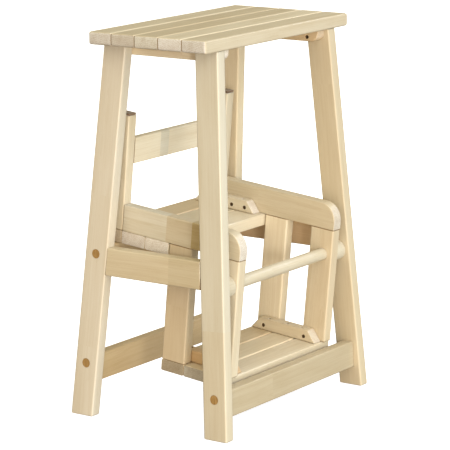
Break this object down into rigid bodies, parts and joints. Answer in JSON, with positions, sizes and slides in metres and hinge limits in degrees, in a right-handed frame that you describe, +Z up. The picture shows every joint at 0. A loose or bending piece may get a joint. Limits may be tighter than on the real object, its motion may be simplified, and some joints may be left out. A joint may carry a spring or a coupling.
{
  "type": "step ladder",
  "caption": "Wooden step stool with splayed legs and a slatted seat; a step unit stored upside down in the frame flips forward on a round rod to give lower treads.",
  "frame": {"origin": "on the floor, under the middle of the frame's bounding box in the stored pose", "axes": "+Z up; X along the seat slats and the pivot rod; the front, where the step unit swings out, faces -Y"},
  "size_m": [0.414, 0.3112, 0.63],
  "materials": {
    "seat_wood": "satin clear-lacquered birch",
    "leg_wood": "satin clear-lacquered birch",
    "stretcher_wood": "satin clear-lacquered birch",
    "step_wood": "satin clear-lacquered birch",
    "tread_wood": "satin clear-lacquered birch",
    "cleat_wood": "satin clear-lacquered birch",
    "rod_wood": "satin turned birch",
    "plug_wood": "darker wooden plug",
    "felt": "pressed brown felt",
    "screw_steel": "yellow-passivated steel"
  },
  "bodies": {
    "stool_frame": {"seat_slat_1": "seat_wood", "seat_slat_2": "seat_wood", "seat_slat_3": "seat_wood", "seat_slat_4": "seat_wood", "seat_slat_5": "seat_wood", "leg_front_left": "leg_wood", "leg_front_right": "leg_wood", "leg_back_left": "leg_wood", "leg_back_right": "leg_wood", "side_stretcher_left": "stretcher_wood", "side_stretcher_right": "stretcher_wood", "front_stretcher": "stretcher_wood", "back_stretcher": "stretcher_wood", "rest_stretcher": "stretcher_wood", "seat_cleat_left": "cleat_wood", "seat_cleat_right": "cleat_wood", "pivot_rod": "rod_wood", "pivot_spacer_left": "rod_wood", "pivot_spacer_right": "rod_wood", "wood_plug_front_left": "plug_wood", "wood_plug_front_right": "plug_wood", "wood_plug_back_left": "plug_wood", "wood_plug_back_right": "plug_wood", "wood_plug_rest_left": "plug_wood", "wood_plug_rest_right": "plug_wood", "stretcher_screw_front_left": "screw_steel", "stretcher_screw_front_right": "screw_steel", "stretcher_screw_back_left": "screw_steel", "stretcher_screw_back_right": "screw_steel", "stretcher_screw_rest_left": "screw_steel", "stretcher_screw_rest_right": "screw_steel"},
    "step_unit": {"step_rail_left": "step_wood", "step_rail_right": "step_wood", "step_front_leg_left": "step_wood", "step_front_leg_right": "step_wood", "step_middle_leg_left": "step_wood", "step_middle_leg_right": "step_wood", "step_post_left": "step_wood", "step_post_right": "step_wood", "post_crossboard": "step_wood", "upper_tread_slat_1": "tread_wood", "upper_tread_slat_2": "tread_wood", "upper_tread_slat_3": "tread_wood", "lower_tread_slat_1": "tread_wood", "lower_tread_slat_2": "tread_wood", "lower_tread_slat_3": "tread_wood", "upper_cleat_left": "cleat_wood", "upper_cleat_right": "cleat_wood", "lower_cleat_left": "cleat_wood", "lower_cleat_right": "cleat_wood", "post_pad_left": "felt", "post_pad_right": "felt", "upper_cleat_screw_left_1": "screw_steel", "upper_cleat_screw_left_2": "screw_steel", "upper_cleat_screw_right_1": "screw_steel", "upper_cleat_screw_right_2": "screw_steel", "lower_cleat_screw_left_1": "screw_steel", "lower_cleat_screw_left_2": "screw_steel", "lower_cleat_screw_right_1": "screw_steel", "lower_cleat_screw_right_2": "screw_steel"}
  },
  "joints": [
    {"name": "step_unit_hinge", "type": "hinge", "parent": "stool_frame", "child": "step_unit", "pos_m": [0, -0.1178, 0.2367], "axis": [1, 0, 0], "range_deg": [0, 174.25]}
  ]
}
